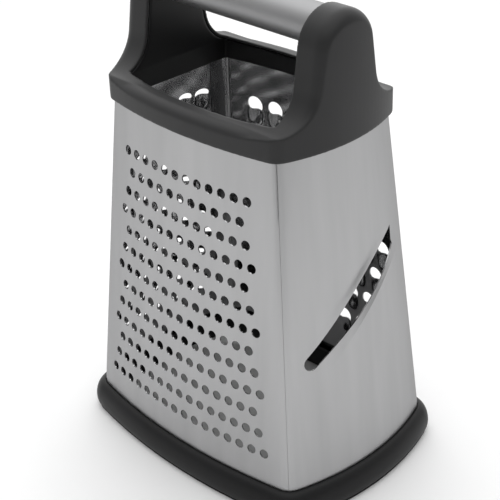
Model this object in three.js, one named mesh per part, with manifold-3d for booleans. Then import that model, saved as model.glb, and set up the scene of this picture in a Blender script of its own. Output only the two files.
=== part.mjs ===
import * as THREE from 'three';
import { mergeGeometries, mergeVertices } from 'three/addons/utils/BufferGeometryUtils.js';
import Module from 'manifold-3d';

// A four-sided box grater in millimetres, +Z up, standing on its base ring at z = 0.
// X runs along the handle. The fine side faces -Y, the slicer +X, the coarse side +Y, the medium side -X.

// Steel body: its plan at the foot, just above the base ring, and at the neck, just below the collar.
// Lengths and widths are taken where the bowed sides would meet if the corners were sharp.
const BODY_HEIGHT = 160;
const FOOT_LENGTH = 134.2;
const FOOT_WIDTH = 95.6;
const NECK_LENGTH = 105.6;
const NECK_WIDTH = 72.4;
const WIDE_BOW_FOOT = 7.5;
const WIDE_BOW_NECK = 5.9;
const NARROW_BOW_FOOT = 9.1;
const NARROW_BOW_NECK = 7.6;
const BEND_RADIUS_FOOT = 9;
const BEND_RADIUS_NECK = 6;
const SHEET = 0.6;

// Folded corner seams: the wide sheets step in and pass behind the narrow ones.
const SEAM_FLANGE = 5.5;
const SEAM_STEP = 1;

// Gap left between neighbouring pieces.
const FIT = 0.3;

// Base ring: a bead with a groove for the steel.
const RING_HEIGHT = 15;
const RING_OVERHANG = 4.8;
const RING_TOE = 2;
const RING_SOLE = 3;
const RING_INNER_WALL = 2.4;
const RING_INNER_DROP = 2;
const BEAD_TOP_ANGLE = 80;
const BEAD_FOOT_ANGLE = -60;

// Collar, rim and uprights of the soft cover.
const COLLAR_HEIGHT = 11.5;
const COLLAR_OVERHANG = 2;
const COLLAR_GRIP = 6.5;
const RIM_EDGE = 3;
const RIM_FALL = 1.3;
const RIM_SLOPE = 2.7;
const RIM_LIP = 3;
const COVER_WALL = 1.6;

// Uprights: width where the leaning sides would meet the rim, and depth along the handle.
const UPRIGHT_FOOT = 43.2;
const UPRIGHT_DEPTH = 15.9;
const UPRIGHT_RISE = 58.4;
const CROWN_RADIUS = 16.8;
const FLARE_RADIUS = 18.2;
const EDGE_ROUND = 8.4;

// Inner frame, with a spigot in each end of the handle tube.
const FRAME_WALL = 2.2;
const FRAME_DROP = 0.5;
const SPIGOT_LENGTH = 9;

// Handle tube, with its axis this far below the crowns of the uprights.
const TUBE_DIAMETER = 18;
const TUBE_WALL = 0.8;
const TUBE_DROP = 10;

// Grating sides: hole diameter, the pitch in a row and from row to row, how far the top row lies below
// the collar, and the plain margin beside the holes at the top and bottom rows.
const FINE = {
  hole: 3.4, pitch: 7.12, rowPitch: 10.25, rows: 13, topDrop: 21,
  marginTop: 7.8, marginFoot: 3.2, evenFirst: true,
};

// The toothed sides add a hood: its rise, how far its lip stands from the hole's middle, and its length
// down the face.
const COARSE = {
  hole: 9, rise: 1.3, lip: -2.5, hoodLength: 9, pitch: 12.6, rowPitch: 18.05, rows: 7, topDrop: 24.6,
  marginTop: 5, marginFoot: 5, evenFirst: false,
};
const MEDIUM = {
  hole: 8, rise: 1.5, lip: -0.2, hoodLength: 9, pitch: 9.8, rowPitch: 12, rows: 11, topDrop: 18.6,
  marginTop: 5.5, marginFoot: 5.5, evenFirst: true,
};
const HOOD_ROOT = 0.55;
const HOOD_CREST_SHARE = 0.5;
const HOLLOW_SHARE = 0.9;

// Punches: how far they reach through and stand out of the sheet, and where a tooth's punch has its corners.
const PUNCH_DEPTH = 12;
const PUNCH_HEAD = 2.4;
const PUNCH_CORNER_ANGLE = 53;

// Slicer side: one slanted slot with a blade pressed up along its lower edge.
const SLOT_LENGTH = 79.2;
const SLOT_WIDTH = 7.4;
const SLOT_ANGLE = 36;
const SLOT_HEIGHT = 84;
const SLOT_SHIFT = -1.1;
const SLOT_STOP = 27;
const BLADE_WIDTH = 7.4;
const BLADE_RISE = 2.7;
const BLADE_SKEW = 1.3;
const BLADE_SINK = 0.1;

// Levels that follow from the sizes above.
const FOOT_LEVEL = RING_HEIGHT;
const NECK_LEVEL = FOOT_LEVEL + BODY_HEIGHT;
const RIM_LEVEL = NECK_LEVEL + COLLAR_HEIGHT;
const WALL_LEVEL = RIM_LEVEL - RIM_FALL - RIM_EDGE;
const CROWN_LEVEL = NECK_LEVEL + UPRIGHT_RISE;
const TUBE_LEVEL = CROWN_LEVEL - TUBE_DROP;
const SHEET_BOTTOM = RING_SOLE + FIT;
const SHEET_TOP = NECK_LEVEL + COLLAR_GRIP;
const SEAM_INSET = SHEET + FIT;
const SEAM_DEPTH = SEAM_INSET + SHEET + FIT;

// Facet counts.
const BEND_FACETS = 3;
const WIDE_STRIPS = 6;
const NARROW_STRIPS = 4;
const WIDE_STRIP_SHARE = 0.96;
const NARROW_STRIP_SHARE = 0.84;
const HOLE_FACETS = 6;
const ROUND_FACETS = 24;
const BEAD_FACETS = 5;
const BELL_FACETS = 7;
const EDGE_FACETS = 3;
const BLADE_FACETS = 16;

const wasm = await Module();
wasm.setup();

function solid(geometry) {
  const plain = geometry.clone();
  plain.deleteAttribute('normal');
  plain.deleteAttribute('uv');
  const merged = mergeVertices(plain, 1e-5);
  return new wasm.Manifold(new wasm.Mesh({
    numProp: 3,
    vertProperties: new Float32Array(merged.attributes.position.array),
    triVerts: new Uint32Array(merged.index.array),
  }));
}

function geometryOf(body) {
  const { vertProperties, triVerts } = body.getMesh();
  const geometry = new THREE.BufferGeometry();
  geometry.setAttribute('position', new THREE.BufferAttribute(vertProperties, 3));
  geometry.setIndex(new THREE.BufferAttribute(triVerts, 1));
  geometry.computeVertexNormals();
  return geometry;
}

function piece(name, body, material) {
  const mesh = new THREE.Mesh(geometryOf(body), material);
  mesh.name = name;
  return mesh;
}

// A closed mesh from its points and from quads given counter-clockwise as seen from outside.
function quadMesh(points, quads) {
  const geometry = new THREE.BufferGeometry().setFromPoints(points);
  geometry.setIndex(quads.flatMap(([a, b, c, d]) => [a, b, c, a, c, d]));
  return geometry;
}

// The steel's plan at height z: four bowed sides with a bend at each corner.
function plan(z) {
  const rise = (z - FOOT_LEVEL) / BODY_HEIGHT;
  const at = (foot, neck) => foot + (neck - foot) * rise;
  const halfLength = at(FOOT_LENGTH, NECK_LENGTH) / 2;
  const halfWidth = at(FOOT_WIDTH, NECK_WIDTH) / 2;
  const wideBow = at(WIDE_BOW_FOOT, WIDE_BOW_NECK);
  const narrowBow = at(NARROW_BOW_FOOT, NARROW_BOW_NECK);
  const bend = at(BEND_RADIUS_FOOT, BEND_RADIUS_NECK);
  const wide = (halfLength ** 2 + wideBow ** 2) / (2 * wideBow);
  const narrow = (halfWidth ** 2 + narrowBow ** 2) / (2 * narrowBow);
  const wideCentre = new THREE.Vector2(0, halfWidth + wideBow - wide);
  const narrowCentre = new THREE.Vector2(halfLength + narrowBow - narrow, 0);
  const bendCentre = meet(wideCentre, wide - bend, narrowCentre, narrow - bend);
  const wideEnd = bendCentre.clone().sub(wideCentre).angle();
  const narrowEnd = bendCentre.clone().sub(narrowCentre).angle();
  return { wide, narrow, bend, wideCentre, narrowCentre, bendCentre, wideEnd, narrowEnd };
}

// The crossing of two circles that lies in the first quadrant.
function meet(centreA, radiusA, centreB, radiusB) {
  const across = centreB.clone().sub(centreA);
  const apart = across.length();
  const along = (radiusA ** 2 - radiusB ** 2 + apart ** 2) / (2 * apart);
  const side = Math.sqrt(radiusA ** 2 - along ** 2);
  across.normalize();
  const base = centreA.clone().addScaledVector(across, along);
  const upright = new THREE.Vector2(-across.y, across.x);
  const crossing = base.clone().addScaledVector(upright, side);
  return crossing.x > 0 && crossing.y > 0 ? crossing : base.addScaledVector(upright, -side);
}

function onArc(centre, radius, angle) {
  return new THREE.Vector2(centre.x + radius * Math.cos(angle), centre.y + radius * Math.sin(angle));
}

// Angles from first to last in equal steps, the last one included.
function sweepAngles(first, last, steps) {
  return Array.from({ length: steps + 1 }, (_, k) => first + ((last - first) * k) / steps);
}

// Angles of the strips on half a side, the same at every height so that each strip is flat.
function wideStripAngles() {
  const middle = Math.PI / 2;
  const sweep = (plan(FOOT_LEVEL).wideEnd - middle) * WIDE_STRIP_SHARE;
  return sweepAngles(middle + sweep, middle, WIDE_STRIPS / 2);
}

function narrowStripAngles() {
  return sweepAngles(0, plan(FOOT_LEVEL).narrowEnd * NARROW_STRIP_SHARE, NARROW_STRIPS / 2);
}

// The closed plan outline at height z, moved out by offset.
function outline(z, offset) {
  const p = plan(z);
  const on = (centre, radius) => (angle) => onArc(centre, radius + offset, angle);
  const narrow = [...narrowStripAngles(), p.narrowEnd].map(on(p.narrowCentre, p.narrow));
  const bend = sweepAngles(p.narrowEnd, p.wideEnd, BEND_FACETS).slice(1).map(on(p.bendCentre, p.bend));
  const wide = wideStripAngles().map(on(p.wideCentre, p.wide));
  const quarter = [...narrow, ...bend, ...wide];
  const mirrored = quarter.slice(1, -1).reverse().map((point) => new THREE.Vector2(-point.x, point.y));
  const half = [...quarter, ...mirrored];
  return [...half, ...half.map((point) => point.clone().negate())];
}

// A ring swept round the steel: its profile is a closed list of [offset from the steel's face, height].
function ring(profile) {
  const loops = profile.map(([offset, z]) => outline(z, offset).map((p) => new THREE.Vector3(p.x, p.y, z)));
  const around = loops[0].length;
  const quads = [];
  loops.forEach((_, row) => {
    const above = (row + 1) % loops.length;
    for (let k = 0; k < around; k++) {
      const next = (k + 1) % around;
      quads.push([row * around + k, row * around + next, above * around + next, above * around + k]);
    }
  });
  return solid(quadMesh(loops.flat(), quads));
}

// A solid stacked from level loops in plan: levels are [loop, height], from below.
function tower(levels) {
  const loops = levels.map(([loop, z]) => loop.map((p) => new THREE.Vector3(p.x, p.y, z)));
  const around = loops[0].length;
  const points = loops.flat();
  const foot = points.push(new THREE.Vector3(0, 0, levels[0][1])) - 1;
  const head = points.push(new THREE.Vector3(0, 0, levels.at(-1)[1])) - 1;
  const index = [];
  const last = (loops.length - 1) * around;
  for (let k = 0; k < around; k++) {
    const next = (k + 1) % around;
    index.push(foot, next, k, head, last + k, last + next);
    for (let row = 0; row < last; row += around) {
      const above = row + around;
      index.push(row + k, row + next, above + next, row + k, above + next, above + k);
    }
  }
  const geometry = new THREE.BufferGeometry().setFromPoints(points);
  geometry.setIndex(index);
  return solid(geometry);
}

// A solid stacked from the collar's plan: levels are [offset from the steel's face, height], from below.
function stack(levels) {
  return tower(levels.map(([offset, z]) => [outline(NECK_LEVEL, offset), z]));
}

// A box from its lowest to its highest corner.
function block(low, high) {
  const size = high.map((value, axis) => value - low[axis]);
  const middle = high.map((value, axis) => (value + low[axis]) / 2);
  return solid(new THREE.BoxGeometry(...size).translate(...middle));
}

// A rod along X.
function rodAlongX(diameter, from, to) {
  const rod = new THREE.CylinderGeometry(diameter / 2, diameter / 2, to - from, ROUND_FACETS);
  return solid(rod.rotateZ(Math.PI / 2).translate((from + to) / 2, 0, TUBE_LEVEL));
}

// Half of a wide sheet's section at height z, from its right-hand seam flange to its middle.
function wideHalf(z) {
  const p = plan(z);
  const seam = (p.narrowEnd + p.wideEnd) / 2;
  const step = SEAM_STEP / p.bend;
  const on = (centre, radius, inset) => (angle) => ({ centre, radius, inset, angle });
  return [
    ...sweepAngles(p.narrowEnd - SEAM_FLANGE / p.narrow, p.narrowEnd, 2).slice(0, -1)
      .map(on(p.narrowCentre, p.narrow, SEAM_INSET)),
    ...sweepAngles(p.narrowEnd, seam, 2).map(on(p.bendCentre, p.bend, SEAM_INSET)),
    ...sweepAngles(seam + step, p.wideEnd, 2).slice(0, -1).map(on(p.bendCentre, p.bend, 0)),
    ...[p.wideEnd, ...wideStripAngles()].map(on(p.wideCentre, p.wide, 0)),
  ];
}

// Half of a narrow sheet's section at height z, from its middle to its seam.
function narrowHalf(z) {
  const p = plan(z);
  const seam = (p.narrowEnd + p.wideEnd) / 2 - FIT / p.bend;
  const on = (centre, radius) => (angle) => ({ centre, radius, inset: 0, angle });
  return [
    ...narrowStripAngles().map(on(p.narrowCentre, p.narrow)),
    ...sweepAngles(p.narrowEnd, seam, 2).map(on(p.bendCentre, p.bend)),
  ];
}

function wideSection(z) {
  const right = wideHalf(z);
  const left = right.slice(0, -1).reverse().map((station) => ({
    ...station,
    centre: new THREE.Vector2(-station.centre.x, station.centre.y),
    angle: Math.PI - station.angle,
  }));
  return [...right, ...left];
}

function narrowSection(z) {
  const back = narrowHalf(z);
  const front = back.slice(1).reverse().map((station) => ({
    ...station,
    centre: new THREE.Vector2(station.centre.x, -station.centre.y),
    angle: -station.angle,
  }));
  return [...front, ...back];
}

// A sheet lofted between its sections at the bottom and the top.
function sheet(section) {
  const levels = [SHEET_BOTTOM, SHEET_TOP];
  const faces = levels.flatMap((z) => [0, SHEET].map((depth) => section(z).map((station) => {
    const p = onArc(station.centre, station.radius - station.inset - depth, station.angle);
    return new THREE.Vector3(p.x, p.y, z);
  })));
  const count = faces[0].length;
  const [outLow, inLow, outHigh, inHigh] = [0, 1, 2, 3].map((k) => k * count);
  const end = count - 1;
  const quads = [
    [inLow, outLow, outHigh, inHigh],
    [outLow + end, inLow + end, inHigh + end, outHigh + end],
  ];
  for (let k = 0; k < end; k++) {
    const next = k + 1;
    quads.push([outLow + k, outLow + next, outHigh + next, outHigh + k]);
    quads.push([inLow + next, inLow + k, inHigh + k, inHigh + next]);
    quads.push([inLow + k, inLow + next, outLow + next, outLow + k]);
    quads.push([outHigh + k, outHigh + next, inHigh + next, inHigh + k]);
  }
  return solid(quadMesh(faces.flat(), quads));
}

// Places on the wide (+Y) and narrow (+X) faces: s runs along the bow from its middle, to the right as
// seen from outside.
function onWideFace(s, z) {
  const p = plan(z);
  const point = onArc(p.wideCentre, p.wide, Math.PI / 2 + s / p.wide);
  return new THREE.Vector3(point.x, point.y, z);
}

function onNarrowFace(s, z) {
  const p = plan(z);
  const point = onArc(p.narrowCentre, p.narrow, s / p.narrow);
  return new THREE.Vector3(point.x, point.y, z);
}

// A frame standing on a face: X to the right, Y up the sheet, Z out of it.
function faceFrame(face, s, z) {
  const origin = face(s, z);
  const right = face(s + 1, z).sub(origin);
  const up = face(s, z + 1).sub(origin).normalize();
  const out = right.cross(up).normalize();
  const frame = new THREE.Matrix4().makeBasis(up.clone().cross(out), up, out);
  return frame.setPosition(origin);
}

// Staggered rows of places on a face, as many in each row as its half-width less the margin holds.
function staggeredPlaces(halfWidth, { pitch, rowPitch, rows, topDrop, marginTop, marginFoot, evenFirst }) {
  const places = [];
  for (let row = 0; row < rows; row++) {
    const z = NECK_LEVEL - topDrop - row * rowPitch;
    const margin = marginTop + ((marginFoot - marginTop) * row) / (rows - 1);
    const room = Math.floor((2 * (halfWidth(z) - margin)) / pitch + 1e-6);
    const even = (row % 2 === 0) === evenFirst;
    const count = (room % 2 === 0) === even ? room : room - 1;
    for (let k = 0; k < count; k++) places.push([(k - (count - 1) / 2) * pitch, z]);
  }
  return places;
}

// The same small solid at each place of a face, as one body of separate lumps.
function atPlaces(geometry, face, places) {
  const copies = places.map(([s, z]) => geometry.clone().applyMatrix4(faceFrame(face, s, z)));
  return solid(mergeGeometries(copies));
}

// A punch through the sheet, drawn to a point on the far side so that the hole has a slight draft.
function punch(hole) {
  const length = PUNCH_DEPTH + PUNCH_HEAD;
  const radius = (hole / 2) * (length / PUNCH_DEPTH);
  const cone = new THREE.ConeGeometry(radius, length, HOLE_FACETS, 1, false, Math.PI / HOLE_FACETS);
  return cone.rotateX(-Math.PI / 2).translate(0, 0, PUNCH_HEAD - length / 2);
}

// The round upper part of a tooth's hole, cut off straight along the lip and drawn to a point like a punch.
function halfPunch({ hole, lip }) {
  const radius = hole / 2;
  const side = Math.sqrt(radius ** 2 - lip ** 2);
  const corner = THREE.MathUtils.degToRad(PUNCH_CORNER_ANGLE);
  const [across, up] = [radius * Math.cos(corner), radius * Math.sin(corner)];
  const grown = (PUNCH_DEPTH + PUNCH_HEAD) / PUNCH_DEPTH;
  const points = [[-side, lip], [side, lip], [across, up], [-across, up]]
    .map(([x, y]) => new THREE.Vector3(grown * x, lip + grown * (y - lip), PUNCH_HEAD));
  points.push(new THREE.Vector3(0, lip, -PUNCH_DEPTH));
  const geometry = new THREE.BufferGeometry().setFromPoints(points);
  geometry.setIndex([0, 1, 2, 0, 2, 3, 4, 1, 0, 4, 2, 1, 4, 3, 2, 4, 0, 3]);
  return geometry;
}

// A three-faceted half cone on a flat floor, lying down the face from its wide end to its point below.
function halfCone({ halfWidth, floor, top, wideEnd, point }) {
  const corners = [[-1, floor], [1, floor], [HOOD_CREST_SHARE, top], [-HOOD_CREST_SHARE, top]];
  const points = corners.map(([x, z]) => new THREE.Vector3(x * halfWidth, wideEnd, z));
  points.push(new THREE.Vector3(0, point, floor));
  const geometry = new THREE.BufferGeometry().setFromPoints(points);
  geometry.setIndex([0, 2, 1, 0, 3, 2, 4, 0, 1, 4, 1, 2, 4, 2, 3, 4, 3, 0]);
  return geometry;
}

// The hood stands on the sheet with its open end, the cutting lip, facing up.
function hood({ hole, rise, lip, hoodLength }) {
  return halfCone({
    halfWidth: hole / 2 + SHEET, floor: -HOOD_ROOT, top: rise + SHEET, wideEnd: lip, point: lip - hoodLength,
  });
}

// The hollow under the hood, open to the hole above it and to the inside of the sheet.
function hollow({ hole, rise, lip, hoodLength }) {
  return halfCone({
    halfWidth: HOLLOW_SHARE * hole / 2, floor: -3 * SHEET, top: rise,
    wideEnd: lip + SHEET, point: lip - hoodLength + 3 * SHEET,
  });
}

function halfWideFace(z) {
  const p = plan(z);
  return p.wide * (Math.PI / 2 - p.wideEnd);
}

function halfNarrowFace(z) {
  const p = plan(z);
  return p.narrow * p.narrowEnd;
}

function fineGraterPanel() {
  const places = staggeredPlaces(halfWideFace, FINE);
  return sheet(wideSection).subtract(atPlaces(punch(FINE.hole), onWideFace, places));
}

function coarseGraterPanel() {
  return toothedPanel(wideSection, onWideFace, halfWideFace, COARSE);
}

function mediumGraterPanel() {
  return toothedPanel(narrowSection, onNarrowFace, halfNarrowFace, MEDIUM);
}

function toothedPanel(section, face, halfWidth, tooth) {
  const places = staggeredPlaces(halfWidth, tooth);
  return sheet(section).add(atPlaces(hood(tooth), face, places))
    .subtract(atPlaces(halfPunch(tooth), face, places))
    .subtract(atPlaces(hollow(tooth), face, places));
}

// How far out the slicer sheet's face stands at a place, between the creases of its flat strips.
function slicerFace(y, z) {
  const share = (z - SHEET_BOTTOM) / (SHEET_TOP - SHEET_BOTTOM);
  const crease = (level) => {
    const p = plan(level);
    return [...narrowStripAngles(), p.narrowEnd].map((angle) => onArc(p.narrowCentre, p.narrow, angle));
  };
  const high = crease(SHEET_TOP);
  const creases = crease(SHEET_BOTTOM).map((point, k) => point.lerp(high[k], share));
  const k = Math.max(1, creases.findIndex((point) => point.y >= Math.abs(y)));
  const along = (Math.abs(y) - creases[k - 1].y) / (creases[k].y - creases[k - 1].y);
  return THREE.MathUtils.lerp(creases[k - 1].x, creases[k].x, along);
}

// A point by the slicer's slot: along it, across it (upwards), and out from the steel's face.
function bySlot(along, across, out) {
  const tilt = THREE.MathUtils.degToRad(SLOT_ANGLE);
  const y = SLOT_SHIFT + along * Math.cos(tilt) - across * Math.sin(tilt);
  const z = FOOT_LEVEL + SLOT_HEIGHT + along * Math.sin(tilt) + across * Math.cos(tilt);
  return new THREE.Vector3(slicerFace(y, z) + out, y, z);
}

// A bar along the slot from sections of four points, given counter-clockwise as seen from its upper end.
function barBySlot(section, length, steps) {
  const stations = Array.from({ length: steps + 1 }, (_, k) => length * (k / steps - 0.5));
  const points = stations.flatMap((along) => section(along));
  const quads = [[3, 2, 1, 0], [0, 1, 2, 3].map((corner) => steps * 4 + corner)];
  for (let k = 0; k < steps; k++) {
    for (let corner = 0; corner < 4; corner++) {
      const next = (corner + 1) % 4;
      quads.push([k * 4 + corner, k * 4 + next, k * 4 + 4 + next, k * 4 + 4 + corner]);
    }
  }
  return solid(quadMesh(points, quads));
}

// A straight-sided opening through the slicer sheet beside the slot's middle line.
function slotWindow(from, to, length) {
  const deep = 4 * BLADE_RISE;
  return barBySlot((along) => [[from, -deep], [to, -deep], [to, deep], [from, deep]]
    .map(([across, out]) => bySlot(along, across, out)), length, 2);
}

// The blade: a strip below the slot, rooted in the sheet and arched out along its upper edge. The arch is
// highest a little above its middle.
function slicerBlade(length) {
  const edge = -SLOT_WIDTH / 2;
  const root = edge - BLADE_WIDTH - SLOT_WIDTH / 4;
  const rise = (along) => BLADE_RISE * Math.sin(Math.PI * (along / length + 0.5) ** BLADE_SKEW);
  return barBySlot((along) => [
    bySlot(along, root, BLADE_SINK - SHEET),
    bySlot(along, edge, rise(along) - SHEET + BLADE_SINK),
    bySlot(along, edge, rise(along) - BLADE_SINK),
    bySlot(along, root, -BLADE_SINK),
  ], length, BLADE_FACETS);
}

// The slot is round at its lower end and cut off upright at its upper end.
function slicerSlot(straight) {
  const half = SLOT_WIDTH / 2;
  const low = bySlot(-straight / 2, 0, 0);
  const rod = new THREE.CylinderGeometry(half, half, 8 * BLADE_RISE, ROUND_FACETS / 2);
  const roundEnd = solid(rod.rotateZ(Math.PI / 2).translate(low.x, low.y, low.z));
  const kept = block([0, -FOOT_WIDTH, 0], [FOOT_LENGTH, SLOT_STOP, CROWN_LEVEL]);
  return slotWindow(-half, half, straight).intersect(kept).add(roundEnd);
}

function slicerPanel() {
  const straight = SLOT_LENGTH - SLOT_WIDTH;
  const cleared = slotWindow(-SLOT_WIDTH / 2 - BLADE_WIDTH, 0, straight - 1.5 * SLOT_WIDTH);
  return sheet(narrowSection).subtract(slicerSlot(straight)).subtract(cleared)
    .add(slicerBlade(straight));
}

function baseRing() {
  const bead = sweepAngles(BEAD_TOP_ANGLE, BEAD_FOOT_ANGLE, BEAD_FACETS).map((degrees) => {
    const angle = THREE.MathUtils.degToRad(degrees);
    return [FIT + (RING_OVERHANG - FIT) * Math.cos(angle), RING_HEIGHT / 2 * (1 + Math.sin(angle))];
  });
  const inside = -SEAM_DEPTH;
  return ring([
    [FIT, SHEET_BOTTOM - FIT],
    [FIT, RING_HEIGHT],
    ...bead,
    [RING_TOE, 0],
    [inside - RING_INNER_WALL + RING_TOE / 2, 0],
    [inside - RING_INNER_WALL, RING_TOE / 2],
    [inside - RING_INNER_WALL, RING_HEIGHT - RING_INNER_DROP],
    [inside, RING_HEIGHT - RING_INNER_DROP],
    [inside, SHEET_BOTTOM - FIT],
  ].reverse());
}

// The bell outline of an upright in the YZ plane, drawn in by inset: a round crown, leaning sides, and flares
// that run out into the rim. Beside its flares it dips below the collar's rim.
function bell(inset) {
  const crown = CROWN_LEVEL - CROWN_RADIUS;
  const foot = new THREE.Vector2(UPRIGHT_FOOT / 2, RIM_LEVEL - crown);
  const lean = Math.acos(CROWN_RADIUS / foot.length()) + Math.atan2(foot.y, foot.x);
  const flare = foot.x + (FLARE_RADIUS * (1 - Math.sin(lean))) / Math.cos(lean);
  const reach = flare + 2 * RIM_EDGE - inset;
  const low = NECK_LEVEL - COLLAR_HEIGHT;
  const dip = WALL_LEVEL - inset;
  const level = RIM_LEVEL + FLARE_RADIUS;
  const shape = new THREE.Shape();
  shape.moveTo(-reach, low);
  shape.lineTo(reach, low);
  shape.lineTo(reach, dip);
  shape.absarc(flare, level, FLARE_RADIUS + inset, -Math.PI / 2, lean - Math.PI, true);
  shape.absarc(0, crown, CROWN_RADIUS - inset, lean, Math.PI - lean, false);
  shape.absarc(-flare, level, FLARE_RADIUS + inset, -lean, -Math.PI / 2, true);
  shape.lineTo(-reach, dip);
  return shape;
}

// Where the outer faces of the uprights stand.
function halfTopLength() {
  const p = plan(NECK_LEVEL);
  return p.narrowCentre.x + p.narrow + COLLAR_OVERHANG;
}

// Half of the gap between the uprights, for the fingers.
function halfFingerSpan() {
  return halfTopLength() - UPRIGHT_DEPTH;
}

// The bell pushed along X to both uprights' outer faces, with rounded edges there.
function saddle(inset) {
  const round = EDGE_ROUND - inset;
  const halfLength = halfTopLength() + FIT - EDGE_ROUND;
  const geometry = new THREE.ExtrudeGeometry(bell(EDGE_ROUND), {
    depth: 2 * halfLength, curveSegments: BELL_FACETS,
    bevelThickness: round, bevelSize: round, bevelSegments: EDGE_FACETS,
  });
  const turn = new THREE.Matrix4().makeBasis(
    new THREE.Vector3(0, 1, 0), new THREE.Vector3(0, 0, 1), new THREE.Vector3(1, 0, 0));
  return solid(geometry.applyMatrix4(turn).translate(-halfLength, 0, 0));
}

// The whole top, collar and uprights together, drawn in by inset and filled down to a level. The rim falls
// off outwards to its rounded edge.
function topForm(offset, inset, bottom) {
  const collar = stack([
    [offset, bottom],
    [offset, WALL_LEVEL],
    [offset - RIM_EDGE, RIM_LEVEL - RIM_FALL - inset],
    [offset - RIM_EDGE - RIM_SLOPE, RIM_LEVEL - inset],
  ]);
  const uprights = stack([[offset, WALL_LEVEL], [offset, CROWN_LEVEL + RIM_EDGE]]).intersect(saddle(inset));
  return collar.add(uprights);
}

// The mouth's plan: bowed walls set in from the steel's face, and straight sides along the uprights.
function mouthLoop(inset, half) {
  const p = plan(NECK_LEVEL);
  const radius = p.wide - inset;
  const back = sweepAngles(half, -half, WIDE_STRIPS).map((x) =>
    new THREE.Vector2(x, p.wideCentre.y + Math.sqrt(radius ** 2 - x ** 2)));
  return [...back, ...back.map((point) => point.clone().negate())];
}

// The open middle of the top, between the uprights. Its walls lean in to a lip at the rim.
function mouth() {
  const inset = SEAM_DEPTH + FRAME_WALL;
  const half = halfFingerSpan();
  const wall = mouthLoop(inset, half + RIM_LIP);
  const lip = mouthLoop(inset + RIM_LIP, half);
  return tower([
    [wall, NECK_LEVEL - COLLAR_HEIGHT],
    [wall, NECK_LEVEL - FRAME_DROP],
    [lip, RIM_LEVEL],
    [lip, CROWN_LEVEL + COLLAR_HEIGHT],
  ]);
}

function topCover() {
  const core = topForm(FIT, COVER_WALL, NECK_LEVEL - FIT);
  return topForm(COLLAR_OVERHANG, 0, NECK_LEVEL).subtract(core).subtract(mouth());
}

function innerFrame() {
  const low = NECK_LEVEL - FRAME_DROP;
  const grooveTop = SHEET_TOP + FIT;
  const groove = ring([
    [-SEAM_DEPTH, low - FIT],
    [2 * COLLAR_OVERHANG, low - FIT],
    [2 * COLLAR_OVERHANG, grooveTop],
    [-SEAM_DEPTH, grooveTop],
  ]);
  const spigot = TUBE_DIAMETER - 2 * (TUBE_WALL + FIT);
  const root = halfFingerSpan() + FRAME_WALL;
  const tip = halfFingerSpan() - SPIGOT_LENGTH;
  return topForm(0, COVER_WALL + FIT, low).subtract(mouth()).subtract(groove)
    .add(rodAlongX(spigot, tip, root)).add(rodAlongX(spigot, -root, -tip));
}

function handleTube() {
  const radius = TUBE_DIAMETER / 2;
  const half = halfFingerSpan() - FIT;
  const profile = [[radius - TUBE_WALL, -half], [radius, -half], [radius, half], [radius - TUBE_WALL, half]];
  const closed = [...profile, profile[0]].map(([r, x]) => new THREE.Vector2(r, x));
  const tube = new THREE.LatheGeometry(closed, ROUND_FACETS);
  return solid(tube.rotateZ(Math.PI / 2).translate(0, 0, TUBE_LEVEL));
}

const steel = new THREE.MeshStandardMaterial({ color: 0xb4b5b6, roughness: 0.32, metalness: 1 });
const softGrip = new THREE.MeshStandardMaterial({ color: 0x3d3e40, roughness: 0.7, metalness: 0 });
const rigidBlack = new THREE.MeshStandardMaterial({ color: 0x17181a, roughness: 0.5, metalness: 0 });
const softBase = new THREE.MeshStandardMaterial({ color: 0x303133, roughness: 0.8, metalness: 0 });

// The front and left sheets are built as the back and right ones and turned half round.
const turned = new THREE.Group();
turned.rotation.z = Math.PI;
turned.add(piece('fine_grater_panel', fineGraterPanel(), steel));
turned.add(piece('medium_grater_panel', mediumGraterPanel(), steel));

const grater = new THREE.Group();
grater.add(turned);
grater.add(piece('coarse_grater_panel', coarseGraterPanel(), steel));
grater.add(piece('slicer_panel', slicerPanel(), steel));
grater.add(piece('base_ring', baseRing(), softBase));
grater.add(piece('inner_frame', innerFrame(), rigidBlack));
grater.add(piece('top_cover', topCover(), softGrip));
grater.add(piece('handle_tube', handleTube(), steel));

export default grater;
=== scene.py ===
import math

import bmesh
import bpy
import numpy as np
from mathutils import Matrix, Vector
from mathutils.geometry import delaunay_2d_cdt

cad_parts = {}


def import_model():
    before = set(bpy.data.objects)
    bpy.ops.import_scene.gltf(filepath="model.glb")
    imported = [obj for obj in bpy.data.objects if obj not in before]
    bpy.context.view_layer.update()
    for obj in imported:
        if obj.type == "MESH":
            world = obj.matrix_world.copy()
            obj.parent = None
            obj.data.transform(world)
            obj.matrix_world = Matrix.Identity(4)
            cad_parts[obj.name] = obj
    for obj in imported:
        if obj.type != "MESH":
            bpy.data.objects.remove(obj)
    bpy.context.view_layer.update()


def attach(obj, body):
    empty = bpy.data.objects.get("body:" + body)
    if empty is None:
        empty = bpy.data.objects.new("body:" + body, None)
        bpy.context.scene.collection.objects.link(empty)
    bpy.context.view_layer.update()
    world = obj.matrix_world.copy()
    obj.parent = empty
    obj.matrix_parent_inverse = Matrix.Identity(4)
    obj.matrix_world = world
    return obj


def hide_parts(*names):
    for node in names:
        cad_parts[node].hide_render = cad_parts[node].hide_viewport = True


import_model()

MM = 0.001

# Sizes in millimetres, as in the CAD source except where a comment says otherwise.

# Steel body: its plan at the foot and at the neck, with bowed sides and rounded corner bends.
BODY_HEIGHT = 160
FOOT_LENGTH, FOOT_WIDTH = 134.2, 95.6
NECK_LENGTH, NECK_WIDTH = 105.6, 72.4
WIDE_BOW_FOOT, WIDE_BOW_NECK = 7.5, 5.9
NARROW_BOW_FOOT, NARROW_BOW_NECK = 9.1, 7.6
BEND_FOOT, BEND_NECK = 9, 6
SHEET = 0.6
FIT = 0.3

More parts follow.
